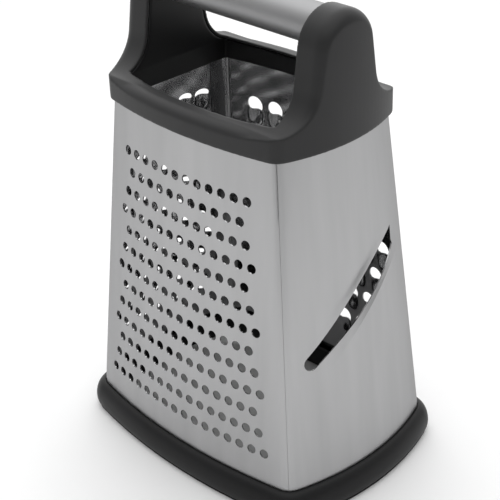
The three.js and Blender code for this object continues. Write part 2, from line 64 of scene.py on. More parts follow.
# Corner seams: the wide sheets step in and pass behind the narrow ones. The step is 1 in the CAD.
SEAM_FLANGE, SEAM_STEP, SEAM_GAP = 5.5, 0.06, 0.1

# Base ring. The CAD's overhang is 4.8 and its bead starts at 80 degrees. The small roundings are
# only here.
RING_HEIGHT, RING_OVERHANG, RING_TOE, RING_SOLE = 15, 4.77, 2, 3
RING_INNER_WALL, RING_INNER_DROP = 2.4, 2
BEAD_TOP_ANGLE, BEAD_FOOT_ANGLE = 84, -60
GROOVE_EDGE, GROOVE_ROUND = 0.1, 0.3
TOE_ROUND_OUT, TOE_ROUND_UP = 0.6, 0.15
SOLE_ROUND = 0.3
WALL_ROUND, WALL_ROUND_CUT = 0.8, 0.25

# Top: collar, rim, uprights, inner frame and handle tube. The CAD's uprights have edges of 8.4.
COLLAR_HEIGHT, COLLAR_OVERHANG, COLLAR_GRIP, COVER_WALL = 11.5, 2, 6.5, 1.6
RIM_EDGE, RIM_FALL, RIM_SLOPE, RIM_LIP = 3, 1.3, 2.7, 3
UPRIGHT_FOOT, UPRIGHT_DEPTH, UPRIGHT_RISE = 43.2, 15.9, 58.4
CROWN_RADIUS, FLARE_RADIUS, EDGE_ROUND = 16.8, 18.2, 6.8
FRAME_WALL, FRAME_DROP, SPIGOT_LENGTH = 2.2, 0.5, 9
TUBE_DIAMETER, TUBE_WALL, TUBE_DROP = 18, 0.8, 10

FOOT_LEVEL = RING_HEIGHT
NECK_LEVEL = FOOT_LEVEL + BODY_HEIGHT
RIM_LEVEL = NECK_LEVEL + COLLAR_HEIGHT
WALL_LEVEL = RIM_LEVEL - RIM_FALL - RIM_EDGE
CROWN_LEVEL = NECK_LEVEL + UPRIGHT_RISE
TUBE_LEVEL = CROWN_LEVEL - TUBE_DROP
SHEET_BOTTOM = RING_SOLE + FIT
SHEET_TOP = NECK_LEVEL + COLLAR_GRIP
SEAM_INSET = SHEET + FIT
SEAM_DEPTH = SEAM_INSET + SHEET + FIT

# Grating sides: hole diameter, the hole's top (crown) and lip above its middle, the hood's rise and
# length, and the lattice. The fine holes, crowns, lips and hoods follow the photograph more closely
# than the CAD does, where the fine holes are 3.4 wide and the hoods lower.
FINE = dict(hole=4.7,
            pitch=7.12, row_pitch=10.25, rows=13, top_drop=21,
            margin_top=7.8, margin_foot=3.2, even_first=True)
COARSE = dict(hole=9, crown=4.5, rise=2.2, lip=-3.3, hood=9,
              pitch=12.6, row_pitch=18.05, rows=7, top_drop=24.6,
              margin_top=5, margin_foot=5, even_first=False)
MEDIUM = dict(hole=8, crown=2.0, rise=1.9, lip=-1.6, hood=8,
              pitch=9.8, row_pitch=12, rows=11, top_drop=18.6,
              margin_top=5.5, margin_foot=5.5, even_first=True)
HOOD_POWER = 1.5

# Slicer side. The fillet at the root of the blade, as a share of its width, and the dent above
# the slot are only here.
SLOT_LENGTH, SLOT_WIDTH, SLOT_ANGLE = 79.2, 7.4, math.radians(36)
SLOT_HEIGHT, SLOT_SHIFT, SLOT_STOP = 84, -1.1, 27
BLADE_WIDTH, BLADE_RISE, BLADE_SKEW, BLADE_FILLET = 7.4, 2.7, 1.3, 0.12
DENT_WIDTH, DENT_DEPTH = 9, 1.4

# Mesh densities: counts of points, columns or steps, lengths in millimetres, rows as shares of a
# hood, blade or dent, and angles in degrees.
WIDE_COLUMNS, NARROW_COLUMNS, FLANGE_COLUMNS = 19, 14, 3
GRID_UP, GRID_CLEAR, HOLE_CLEAR = 4.0, 1.2, 0.5
BEND_STEPS = 10
HOLE_POINTS, LIP_POINTS = 20, 8
HOOD_ACROSS, HOOD_DOWN, HOOD_START = 13, 11, 0.07
SLOT_END_STEPS, SLOT_EDGE_STEPS, SLOT_CUT_STEPS, SLOT_STATIONS = 12, 39, 5, 49
BLADE_ROWS = (0.07, 0.2, 0.4, 0.6, 0.7, 0.8, 0.87, 0.94, 1, 1.07)
DENT_ROWS = (0.06, 0.2, 0.35, 0.5, 0.65, 0.8, 0.95)
OUTLINE_NARROW, OUTLINE_BEND, OUTLINE_WIDE = 24, 10, 24
BEAD_POINTS, FLARE_POINTS, CROWN_POINTS, ROUND_POINTS = 22, 20, 48, 12
SPIGOT_SEGMENTS, TUBE_SEGMENTS = 64, 96
VOXEL, SOFTEN, COVER_SOFTENING, FRAME_SOFTENING = 0.55, 0.5, 4, 3
SMOOTH_ANGLE, TUBE_SMOOTH_ANGLE = 40, 30

# Tolerances: lengths in millimetres, or shares of a hood or pitch.
TOUCH, MERGE, ROUNDING = 1e-3, 1e-5, 1e-6


# Plan of the steel body.

def between(foot, neck, z):
    return foot + (neck - foot) * (np.asarray(z, float) - FOOT_LEVEL) / BODY_HEIGHT


def plan(z):
    """Radii, centres, end angles and arc lengths of the sides and the corner bends at height z."""
    half_length = between(FOOT_LENGTH, NECK_LENGTH, z) / 2
    half_width = between(FOOT_WIDTH, NECK_WIDTH, z) / 2
    wide_bow = between(WIDE_BOW_FOOT, WIDE_BOW_NECK, z)
    narrow_bow = between(NARROW_BOW_FOOT, NARROW_BOW_NECK, z)
    bend = between(BEND_FOOT, BEND_NECK, z)
    wide = (half_length ** 2 + wide_bow ** 2) / (2 * wide_bow)
    narrow = (half_width ** 2 + narrow_bow ** 2) / (2 * narrow_bow)
    wide_y = half_width + wide_bow - wide
    narrow_x = half_length + narrow_bow - narrow
    apart = np.hypot(narrow_x, wide_y)
    along = ((wide - bend) ** 2 - (narrow - bend) ** 2 + apart ** 2) / (2 * apart)
    side = np.sqrt((wide - bend) ** 2 - along ** 2)
    ux, uy = narrow_x / apart, -wide_y / apart
    bend_x, bend_y = along * ux + side * uy, wide_y + along * uy - side * ux
    wide_end = np.arctan2(bend_y - wide_y, bend_x)
    narrow_end = np.arctan2(bend_y, bend_x - narrow_x)
    return dict(wide=wide, narrow=narrow, bend=bend, wide_y=wide_y, narrow_x=narrow_x,
                bend_x=bend_x, bend_y=bend_y, wide_end=wide_end, narrow_end=narrow_end,
                half_wide=wide * (math.pi / 2 - wide_end), half_narrow=narrow * narrow_end,
                turn=bend * (wide_end - narrow_end))


def arc(x, y, radius, first, last, count):
    """Points of an arc from the first angle to the last."""
    angles = np.linspace(first, last, count)
    return np.column_stack([x + radius * np.cos(angles), y + radius * np.sin(angles)])


def outline(z, offset):
    """Closed smooth plan outline at one height, moved out by offset, counter-clockwise."""
    p = plan(z)
    quarter = np.vstack([
        arc(p["narrow_x"], 0, p["narrow"] + offset, 0, p["narrow_end"],
            OUTLINE_NARROW // 2 + 1)[:-1],
        arc(p["bend_x"], p["bend_y"], p["bend"] + offset, p["narrow_end"], p["wide_end"],
            OUTLINE_BEND + 1)[:-1],
        arc(0, p["wide_y"], p["wide"] + offset, p["wide_end"], math.pi / 2,
            OUTLINE_WIDE // 2 + 1)])
    mirrored = quarter[1:-1][::-1] * [-1, 1]
    half = np.vstack([quarter, mirrored])
    return np.vstack([half, -half])


def at_level(points, level):
    """The points with one more coordinate, the same for all of them."""
    return np.column_stack([points, np.full(len(points), level)])


# Objects from arrays.

def linked(name, data):
    obj = bpy.data.objects.new(name, data)
    bpy.context.scene.collection.objects.link(obj)
    return obj


def new_mesh(name, points, faces):
    mesh = bpy.data.meshes.new(name)
    mesh.from_pydata((np.asarray(points) * MM).tolist(), [], faces)
    return mesh


def new_object(name, points, faces, materials, replaced, smooth_angle=SMOOTH_ANGLE):
    mesh = new_mesh(name, points, faces)
    mesh.validate()
    obj = linked(name, mesh)
    mesh.shade_smooth()
    mesh.set_sharp_from_angle(angle=math.radians(smooth_angle))
    dress(obj, materials, replaced)
    return obj


def dress(obj, materials, replaced):
    obj.data.materials.clear()
    for material in materials:
        obj.data.materials.append(material)
    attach(obj, "root")
    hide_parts(replaced)


# Steel sheets: a flat pattern in (s, z), with s the distance along the section from the middle of
# the face, is cut into triangles and bent onto the face.

def wide_face(s, z, depth):
    """Place on the +Y sheet; beyond the bend the sheet steps in and runs behind its neighbour."""
    p = plan(z)
    a, side = np.abs(s), np.where(s > 0, -1.0, 1.0)
    flat, turn = p["half_wide"], p["turn"]
    seam = flat + turn / 2
    inset = SEAM_INSET * np.clip((a - seam) / SEAM_STEP, 0, 1)
    on_flat, on_bend = a <= flat, a <= flat + turn

    def pick(at_flat, at_bend, at_flange):
        return np.where(on_flat, at_flat, np.where(on_bend, at_bend, at_flange))

    angle = pick(math.pi / 2 - a / p["wide"],
                 p["wide_end"] - (a - flat) / p["bend"],
                 p["narrow_end"] - (a - flat - turn) / p["narrow"])
    radius = pick(p["wide"], p["bend"], p["narrow"]) - inset - depth
    x = pick(0, p["bend_x"], p["narrow_x"]) + radius * np.cos(angle)
    y = pick(p["wide_y"], p["bend_y"], 0) + radius * np.sin(angle)
    return np.column_stack([side * x, y, z])


def narrow_face(s, z, depth):
    """Place on the +X sheet, from its middle to the seams in the corner bends."""
    p = plan(z)
    a, side = np.abs(s), np.where(s < 0, -1.0, 1.0)
    flat = p["half_narrow"]
    on_flat = a <= flat
    angle = np.where(on_flat, a / p["narrow"], p["narrow_end"] + (a - flat) / p["bend"])
    radius = np.where(on_flat, p["narrow"], p["bend"]) - depth
    x = np.where(on_flat, p["narrow_x"], p["bend_x"]) + radius * np.cos(angle)
    y = np.where(on_flat, 0, p["bend_y"]) + radius * np.sin(angle)
    return np.column_stack([x, side * y, z])


def wide_columns(z):
    """Distances from the middle of the +Y face to the grid's columns, out to the flange's edge."""
    p = plan(z)
    flat, turn = p["half_wide"], p["turn"]
    seam = flat + turn / 2
    return np.concatenate([
        flat * np.linspace(0, 1, WIDE_COLUMNS + 1)[:-1],
        np.linspace(flat, seam, BEND_STEPS // 2 + 1),
        np.linspace(seam + SEAM_STEP, flat + turn, BEND_STEPS // 2)[:-1],
        np.linspace(flat + turn, flat + turn + SEAM_FLANGE, FLANGE_COLUMNS)])


def narrow_columns(z):
    """Distances from the middle of the +X face to the grid's columns, out to the seam."""
    p = plan(z)
    flat = p["half_narrow"]
    turn = p["turn"] / 2 - SEAM_GAP
    return np.concatenate([
        flat * np.linspace(0, 1, NARROW_COLUMNS + 1)[:-1],
        np.linspace(flat, flat + turn, BEND_STEPS // 2 + 1)])


WIDE = dict(place=wide_face, columns=wide_columns, half="half_wide")
NARROW = dict(place=narrow_face, columns=narrow_columns, half="half_narrow")


def smooth(t):
    t = np.clip(t, 0, 1)
    return t * t * (3 - 2 * t)


def staggered(side, spec):
    """Places of the holes, in rows with an even or odd count by turns."""
    places = []
    for row in range(spec["rows"]):
        z = NECK_LEVEL - spec["top_drop"] - row * spec["row_pitch"]
        taper = (spec["margin_foot"] - spec["margin_top"]) * row / (spec["rows"] - 1)
        width = 2 * (plan(z)[side["half"]] - (spec["margin_top"] + taper))
        room = math.floor(width / spec["pitch"] + ROUNDING)
        even = (row % 2 == 0) == spec["even_first"]
        count = room if (room % 2 == 0) == even else room - 1
        places += [((k - (count - 1) / 2) * spec["pitch"], z) for k in range(count)]
    return places


def circle(s, z, radius):
    angles = 2 * math.pi * np.arange(HOLE_POINTS) / HOLE_POINTS
    return np.column_stack([s + radius * np.cos(angles), z + radius * np.sin(angles)])


def lanced_hole(s, z, spec):
    """A hole with a round crown, cut off straight along the lip of its tooth."""
    radius, lip = spec["hole"] / 2, spec["lip"]
    half_lip = math.sqrt(radius ** 2 - lip ** 2)
    start = math.atan2(lip, half_lip)
    angles = start + (math.pi - 2 * start) * np.arange(HOLE_POINTS + 1) / HOLE_POINTS
    squash = (spec["crown"] - lip) / (radius - lip)
    over = np.column_stack([radius * np.cos(angles),
                            lip + (radius * np.sin(angles) - lip) * squash])
    painted_ring_shade = at_level(half_lip * np.linspace(-1, 1, LIP_POINTS + 2)[1:-1], lip)
    return np.vstack([over, painted_ring_shade]) + [s, z]


def hood_field(places, spec):
    """Height of the pressed hoods over the flat sheet: each rises to its lip and ends there."""
    reach = spec["hole"] / 2

    def height(s, z):
        total = np.zeros(len(s))
        for ps, pz in places:
            below = (pz + spec["lip"] - z) / spec["hood"]
            across = (s - ps) / reach
            painted_camera_shade = (below > -TOUCH) & (below < 1) & (np.abs(across) < 1)
            arch = (1 - across[painted_camera_shade] ** 2) ** HOOD_POWER
            fall = (1 - np.maximum(below[painted_camera_shade], 0) ** 2) ** HOOD_POWER
            total[painted_camera_shade] = np.maximum(total[painted_camera_shade], spec["rise"] * arch * fall)
        return total

    return height


def hood_points(places, spec):
    """Extra points of the flat pattern where the hoods curve."""
    grid_s, grid_z = np.meshgrid(np.linspace(-1, 1, HOOD_ACROSS) * (spec["hole"] / 2),
                                 -np.linspace(HOOD_START, 1, HOOD_DOWN) * spec["hood"])
    local = np.column_stack([grid_s.ravel(), grid_z.ravel() + spec["lip"]])
    return np.vstack([local + place for place in places])


def inside_loops(points, loops):
    """Which points lie in any of the closed loops."""
    hit = np.zeros(len(points), bool)
    for loop in loops:
        low, high = loop.min(0), loop.max(0)
        painted_camera_shade = np.where(((points > low) & (points < high)).all(1))[0]
        if not len(painted_camera_shade):
            continue
        x, y = points[painted_camera_shade, 0][:, None], points[painted_camera_shade, 1][:, None]
        ax, ay = loop[:, 0], loop[:, 1]
        bx, by = np.roll(ax, -1), np.roll(ay, -1)
        crosses = (ay > y) != (by > y)
        with np.errstate(divide="ignore", invalid="ignore"):
            where = (bx - ax) * (y - ay) / (by - ay) + ax
        hit[painted_camera_shade] |= (crosses & (x < where)).sum(1) % 2 == 1
    return hit


def grown(loop, by):
    """The loop scaled about its middle, so that its farthest side moves out by a length."""
    middle = loop.mean(0)
    return middle + (loop - middle) * (1 + by / np.abs(loop - middle).max())


def pattern(columns, holes, extra):
    """Triangulated flat pattern: its points and triangles."""
    count = round((SHEET_TOP - SHEET_BOTTOM) / GRID_UP) + 1
    rows = []
    for z in np.linspace(SHEET_BOTTOM, SHEET_TOP, count):
        right = columns(z)
        rows.append(at_level(np.concatenate([-right[:0:-1], right]), z))
    border = np.vstack([rows[0], [row[-1] for row in rows[1:-1]],
                        rows[-1][::-1], [row[0] for row in rows[-2:0:-1]]])
    free = np.vstack([row[1:-1] for row in rows[1:-1]])
    if len(extra):
        nearest = np.array([np.hypot(*(extra - point).T).min() for point in free])
        free = np.vstack([free[nearest > GRID_CLEAR], extra])
    free = free[~inside_loops(free, [grown(loop, HOLE_CLEAR) for loop in holes])]
    loops = [border] + holes
    edges, start = [], 0
    for loop in loops:
        n = len(loop)
        edges += [(start + k, start + (k + 1) % n) for k in range(n)]
        start += n
    whole_hull = 0
    out = delaunay_2d_cdt([Vector(point) for point in np.vstack(loops + [free])], edges, [],
                          whole_hull, MERGE)
    flat = np.array([[v.x, v.y] for v in out[0]])
    triangles = np.array([f for f in out[2] if len(f) == 3])
    middles = flat[triangles].mean(1)
    keep = inside_loops(middles, [border]) & ~inside_loops(middles, holes)
    return flat, triangles[keep]


def sheet_object(name, side, holes, extra, height, turned, materials, replaced):
    """A sheet bent from its flat pattern: a brushed outer skin, a smooth inner one, and edges."""
    flat, triangles = pattern(side["columns"], holes, extra)
    s, z = flat[:, 0], flat[:, 1]
    raised = height(s, z)
    sign = -1.0 if turned else 1.0
    outer, inner = [side["place"](s, z, depth - raised) * [sign, sign, 1] for depth in (0, SHEET)]
    count = len(flat)
    first, second, third = [flat[triangles[:, corner]] for corner in range(3)]
    area = np.cross(second - first, third - first)
    triangles = np.where((area > 0)[:, None], triangles, triangles[:, ::-1])
    directed = np.vstack([triangles[:, [0, 1]], triangles[:, [1, 2]], triangles[:, [2, 0]]])
    present = set(map(tuple, directed))
    rims = [(int(a), int(b)) for a, b in directed if (b, a) not in present]
    faces = triangles.tolist() + (triangles[:, ::-1] + count).tolist()
    faces += [[b, a, a + count, b + count] for a, b in rims]
    obj = new_object(name, np.vstack([outer, inner]), faces, materials, replaced)
    inside = np.zeros(len(faces), np.int32)
    inside[len(triangles):] = 1
    obj.data.polygons.foreach_set("material_index", inside)
    return obj


def plain(s, z):
    """No relief on the sheet."""
    return np.zeros(len(s))


def fine_panel(materials):
    holes = [circle(s, z, FINE["hole"] / 2) for s, z in staggered(WIDE, FINE)]
    return sheet_object("fine_sheet", WIDE, holes, [], plain, True, materials,
                        "fine_grater_panel")


def toothed_panel(name, side, spec, turned, materials, replaced):
    places = staggered(side, spec)
    holes = [lanced_hole(s, z, spec) for s, z in places]
    return sheet_object(name, side, holes, hood_points(places, spec), hood_field(places, spec),
                        turned, materials, replaced)


def slot_to_face(along, across):
    """From distances along and across the slot to a place in the flat pattern."""
    y = SLOT_SHIFT + along * math.cos(SLOT_ANGLE) - across * math.sin(SLOT_ANGLE)
    z = (FOOT_LEVEL + SLOT_HEIGHT
         + along * math.sin(SLOT_ANGLE) + across * math.cos(SLOT_ANGLE))
    radius = plan(z)["narrow"]
    return np.column_stack([radius * np.arcsin(y / radius), z])


def face_to_slot(s, z):
    """From a place in the flat pattern to distances along and across the slot."""
    radius = plan(z)["narrow"]
    y = radius * np.sin(s / radius) - SLOT_SHIFT
    up = z - FOOT_LEVEL - SLOT_HEIGHT
    return (y * math.cos(SLOT_ANGLE) + up * math.sin(SLOT_ANGLE),
            up * math.cos(SLOT_ANGLE) - y * math.sin(SLOT_ANGLE))


def slot_outline():
    """Round at its lower end, cut off upright at its upper end."""
    half = SLOT_WIDTH / 2
    end = (SLOT_LENGTH - SLOT_WIDTH) / 2

    def stop(across):
        return (SLOT_STOP - SLOT_SHIFT + across * math.sin(SLOT_ANGLE)) / math.cos(SLOT_ANGLE)

    angles = math.pi / 2 + math.pi * np.arange(SLOT_END_STEPS + 1) / SLOT_END_STEPS
    low = np.column_stack([-end + half * np.cos(angles), half * np.sin(angles)])
    edge = at_level(np.linspace(-end, stop(-half), SLOT_EDGE_STEPS + 1)[1:], -half)
    upper = at_level(np.linspace(stop(half), -end, SLOT_EDGE_STEPS + 1)[:-1], half)
    upright = np.linspace(-half, half, SLOT_CUT_STEPS + 1)[1:-1]
    cut = np.column_stack([stop(upright), upright])
    return np.vstack([low, edge, cut, upper])


def blade_height(s, z):
    """Below the slot a blade arches out along its edge; above it the sheet is pressed in a bit."""
    along, across = face_to_slot(s, z)
    half = SLOT_WIDTH / 2
    share = np.clip(along / (SLOT_LENGTH - SLOT_WIDTH) + 0.5, 0, 1)
    arch = np.sin(math.pi * share ** BLADE_SKEW)
    up = np.clip((across + half + BLADE_WIDTH) / BLADE_WIDTH, 0, 1)
    bent = np.where(up < BLADE_FILLET, up ** 2 / (2 * BLADE_FILLET), up - BLADE_FILLET / 2)
    bent = bent / (1 - BLADE_FILLET / 2)
    down = smooth((half + DENT_WIDTH - across) / DENT_WIDTH)
    return arch * np.where(across < -half + TOUCH, BLADE_RISE * bent,
                           np.where(across > half - TOUCH, -DENT_DEPTH * down, 0))


def slicer_panel(materials):
    slot = slot_outline()
    hole = slot_to_face(slot[:, 0], slot[:, 1])
    half, end = SLOT_WIDTH / 2, (SLOT_LENGTH - SLOT_WIDTH) / 2
    below = -half - BLADE_WIDTH * np.array(BLADE_ROWS)
    above = half + DENT_WIDTH * np.array(DENT_ROWS)
    along, across = np.meshgrid(np.linspace(-end, end, SLOT_STATIONS),
                                np.concatenate([below, above]))
    extra = slot_to_face(along.ravel(), across.ravel())
    return sheet_object("slicer_sheet", NARROW, [hole], extra, blade_height, False, materials,
                        "slicer_panel")


# Moulded pieces and the tube.

def loft(name, loops, material, replaced, smooth_angle=SMOOTH_ANGLE):
    """A ring lofted through closed loops of equal length, the last joined to the first."""
    around, count = len(loops[0]), len(loops)
    faces = []
    for row in range(count):
        here, above = row * around, (row + 1) % count * around
        for k in range(around):
            nxt = (k + 1) % around
            faces.append([here + k, above + k, above + nxt, here + nxt])
    return new_object(name, np.vstack(loops), faces, [material], replaced, smooth_angle)


def level_loop(z, offset):
    """The plan's outline at its own height."""
    return at_level(outline(z, offset), z)


def collar_loop(offset, z):
    """The plan's outline at the neck, set at another height."""
    return at_level(outline(NECK_LEVEL, offset), z)


def base_ring(material):
    turns = np.radians(np.linspace(BEAD_TOP_ANGLE, BEAD_FOOT_ANGLE, BEAD_POINTS))
    bead = [(FIT + (RING_OVERHANG - FIT) * math.cos(t), RING_HEIGHT / 2 * (1 + math.sin(t)))
            for t in turns]
    inside = -SEAM_DEPTH
    wall = inside - RING_INNER_WALL
    crown = RING_HEIGHT - RING_INNER_DROP
    floor_level = SHEET_BOTTOM - FIT
    profile = [(FIT, floor_level), (FIT, RING_HEIGHT - GROOVE_EDGE), *bead,
               (RING_TOE + TOE_ROUND_OUT, TOE_ROUND_UP), (RING_TOE, 0),
               (wall + RING_TOE / 2, 0), (wall + SOLE_ROUND, SOLE_ROUND), (wall, RING_TOE / 2),
               (wall, crown - WALL_ROUND), (wall + WALL_ROUND_CUT, crown - WALL_ROUND_CUT),
               (wall + WALL_ROUND, crown), (inside - GROOVE_ROUND, crown),
               (inside, crown - GROOVE_ROUND), (inside, floor_level)]
    loops = [level_loop(z, offset) for offset, z in profile]
    return loft("base_bead", loops, material, "base_ring")


def solid(points, faces):
    """A closed helper mesh for joining and cutting."""
    mesh = new_mesh("helper", points, faces)
    obj = linked("helper", mesh)
    work = bmesh.new()
    work.from_mesh(mesh)
    bmesh.ops.triangulate(work, faces=work.faces)
    bmesh.ops.recalc_face_normals(work, faces=work.faces)
    work.to_mesh(mesh)
    work.free()
    return obj


def stacked(loops):
    """A solid through closed loops from one end to the other."""
    around, count = len(loops[0]), len(loops)
    faces = [list(range(around))[::-1], [(count - 1) * around + k for k in range(around)]]
    for row in range(count - 1):
        here, above = row * around, (row + 1) * around
        for k in range(around):
            nxt = (k + 1) % around
            faces.append([here + k, here + nxt, above + nxt, above + k])
    return solid(np.vstack(loops), faces)


def combine(obj, other, operation):
    """Joins or cuts a helper with another one, which is used up."""
    modifier = obj.modifiers.new("combine", "BOOLEAN")
    modifier.operation, modifier.object, modifier.solver = operation, other, "MANIFOLD"
    apply_modifiers(obj)
    bpy.data.objects.remove(other)
    return obj


def apply_modifiers(obj):
    bpy.context.view_layer.update()
    evaluated = obj.evaluated_get(bpy.context.evaluated_depsgraph_get())
    result = bpy.data.meshes.new_from_object(evaluated)
    obj.modifiers.clear()
    obj.data = result


def bell(inset):
    """Upright's outline in (y, z), drawn in by inset; it dips below the rim beside its flares."""
    crown = CROWN_LEVEL - CROWN_RADIUS
    foot, drop = UPRIGHT_FOOT / 2, RIM_LEVEL - crown
    lean = math.acos(CROWN_RADIUS / math.hypot(foot, drop)) + math.atan2(drop, foot)
    flare = foot + FLARE_RADIUS * (1 - math.sin(lean)) / math.cos(lean)
    reach = flare + 2 * RIM_EDGE - inset
    low, dip = NECK_LEVEL - COLLAR_HEIGHT, WALL_LEVEL - inset
    level, hollow = RIM_LEVEL + FLARE_RADIUS, FLARE_RADIUS + inset
    return np.vstack([
        [[-reach, low], [reach, low], [reach, dip]],
        arc(flare, level, hollow, -math.pi / 2, lean - math.pi, FLARE_POINTS),
        arc(0, crown, CROWN_RADIUS - inset, lean, math.pi - lean, CROWN_POINTS),
        arc(-flare, level, hollow, -lean, -math.pi / 2, FLARE_POINTS),
        [[-reach, dip]]])


def half_top_length():
    p = plan(NECK_LEVEL)
    return float(p["narrow_x"] + p["narrow"]) + COLLAR_OVERHANG


def half_finger_span():
    return half_top_length() - UPRIGHT_DEPTH


def at_station(x, section):
    """A section in (y, z), set at one x."""
    return np.column_stack([np.full(len(section), x), section])


def saddle(inset):
    """The bell pushed along X to the outer faces of both uprights, with rounded edges."""
    end = half_top_length() + FIT - EDGE_ROUND
    rounding = EDGE_ROUND - inset
    turns = np.radians(np.linspace(90, 0, ROUND_POINTS))
    stations = [(-end - rounding * math.sin(t), EDGE_ROUND - rounding * math.cos(t))
                for t in turns]
    stations += [(-x, drawn_in) for x, drawn_in in stations[::-1]]
    return stacked([at_station(x, bell(drawn_in)) for x, drawn_in in stations])


def top_form(offset, inset, bottom):
    """Collar and uprights together, drawn in by inset and filled down to a level."""
    turns = np.radians(np.linspace(0, 90, ROUND_POINTS))
    across, up = RIM_EDGE + RIM_SLOPE, RIM_EDGE + RIM_FALL - inset
    rim = [collar_loop(offset - across * (1 - math.cos(t)), WALL_LEVEL + up * math.sin(t))
           for t in turns]
    collar = stacked([collar_loop(offset, bottom)] + rim)
    uprights = stacked([collar_loop(offset, WALL_LEVEL - FIT),
                        collar_loop(offset, CROWN_LEVEL + RIM_EDGE)])
    return combine(collar, combine(uprights, saddle(inset), "INTERSECT"), "UNION")


def mouth_loop(inset, half, z):
    """Bowed walls set in from the steel's face, and straight sides along the uprights."""
    p = plan(NECK_LEVEL)
    x = np.linspace(half, -half, OUTLINE_WIDE)
    back = np.column_stack([x, p["wide_y"] + np.sqrt((p["wide"] - inset) ** 2 - x ** 2)])
    return at_level(np.vstack([back, -back]), z)


def mouth():
    """The open middle of the top, with walls that lean in to a lip at the rim."""
    inset, half = SEAM_DEPTH + FRAME_WALL, half_finger_span()
    wall, lip = (inset, half + RIM_LIP), (inset + RIM_LIP, half)
    return stacked([mouth_loop(*wall, NECK_LEVEL - COLLAR_HEIGHT),
                    mouth_loop(*wall, NECK_LEVEL - FRAME_DROP),
                    mouth_loop(*lip, RIM_LEVEL),
                    mouth_loop(*lip, CROWN_LEVEL + COLLAR_HEIGHT)])


def moulded(obj, name, rounds, material, replaced):
    """Even quads with softened edges in place of the cut solid."""
    remesh = obj.modifiers.new("even", "REMESH")
    remesh.mode, remesh.voxel_size = "VOXEL", VOXEL * MM
    soften = obj.modifiers.new("soften", "SMOOTH")
    soften.factor, soften.iterations = SOFTEN, rounds
    apply_modifiers(obj)
    obj.name = obj.data.name = name
    obj.data.shade_smooth()
    dress(obj, [material], replaced)
    return obj


def top_cover(material):
    cover = combine(top_form(COLLAR_OVERHANG, 0, NECK_LEVEL),
                    top_form(FIT, COVER_WALL, NECK_LEVEL - FIT), "DIFFERENCE")
    return moulded(combine(cover, mouth(), "DIFFERENCE"), "grip_cover", COVER_SOFTENING, material,
                   "top_cover")


def tube_circle(radius, segments):
    """A circle in (y, z) round the axis of the tube."""
    angles = 2 * math.pi * np.arange(segments) / segments
    return np.column_stack([radius * np.cos(angles), TUBE_LEVEL + radius * np.sin(angles)])


def inner_frame(material):
    low, clear = NECK_LEVEL - FRAME_DROP, 2 * COLLAR_OVERHANG
    body = combine(top_form(0, COVER_WALL + FIT, low), mouth(), "DIFFERENCE")
    groove = stacked([level_loop(low - FIT, clear), level_loop(SHEET_TOP + FIT, clear)])
    core = stacked([level_loop(low - 2 * FIT, -SEAM_DEPTH),
                    level_loop(SHEET_TOP + 2 * FIT, -SEAM_DEPTH)])
    body = combine(body, combine(groove, core, "DIFFERENCE"), "DIFFERENCE")
    section = tube_circle(TUBE_DIAMETER / 2 - TUBE_WALL - FIT, SPIGOT_SEGMENTS)
    tip, root = half_finger_span() - SPIGOT_LENGTH, half_finger_span() + FRAME_WALL
    for ends in ((tip, root), (-root, -tip)):
        spigot = stacked([at_station(x, section) for x in ends])
        body = combine(body, spigot, "UNION")
    return moulded(body, "top_frame", FRAME_SOFTENING, material, "inner_frame")


def handle_tube(material):
    radius, half = TUBE_DIAMETER / 2, half_finger_span() - FIT
    bore, edge = radius - TUBE_WALL, TUBE_WALL / 4
    profile = [(bore, -half), (radius - edge, -half), (radius, -half + edge), (radius, 0),
               (radius, half - edge), (radius - edge, half), (bore, half)]
    loops = [at_station(x, tube_circle(r, TUBE_SEGMENTS)) for r, x in profile]
    return loft("grip_tube", loops, material, "handle_tube", TUBE_SMOOTH_ANGLE)


# Materials.

STEEL_EDGE_TINT = (0.6, 0.6, 0.6)
BRUSH_SCALE, BRUSH_DETAIL, BRUSH_DEPTH = 90, 4, 0.0002
BRUSH_TONES, BRUSH_ROUGHNESS = (0.94, 1.05), 0.05
RUB_SCALE, RUB_DETAIL, RUB_TONES = 18, 3, (0.85, 1.15)
GRAIN_DETAIL, GRAIN_ROUGHNESS, GRAIN_RELIEF, GRAIN_DEPTH = 2, 0.07, 0.12, 0.0001


def set_inputs(node, inputs):
    for key, value in inputs.items():
        node.inputs[key].default_value = value


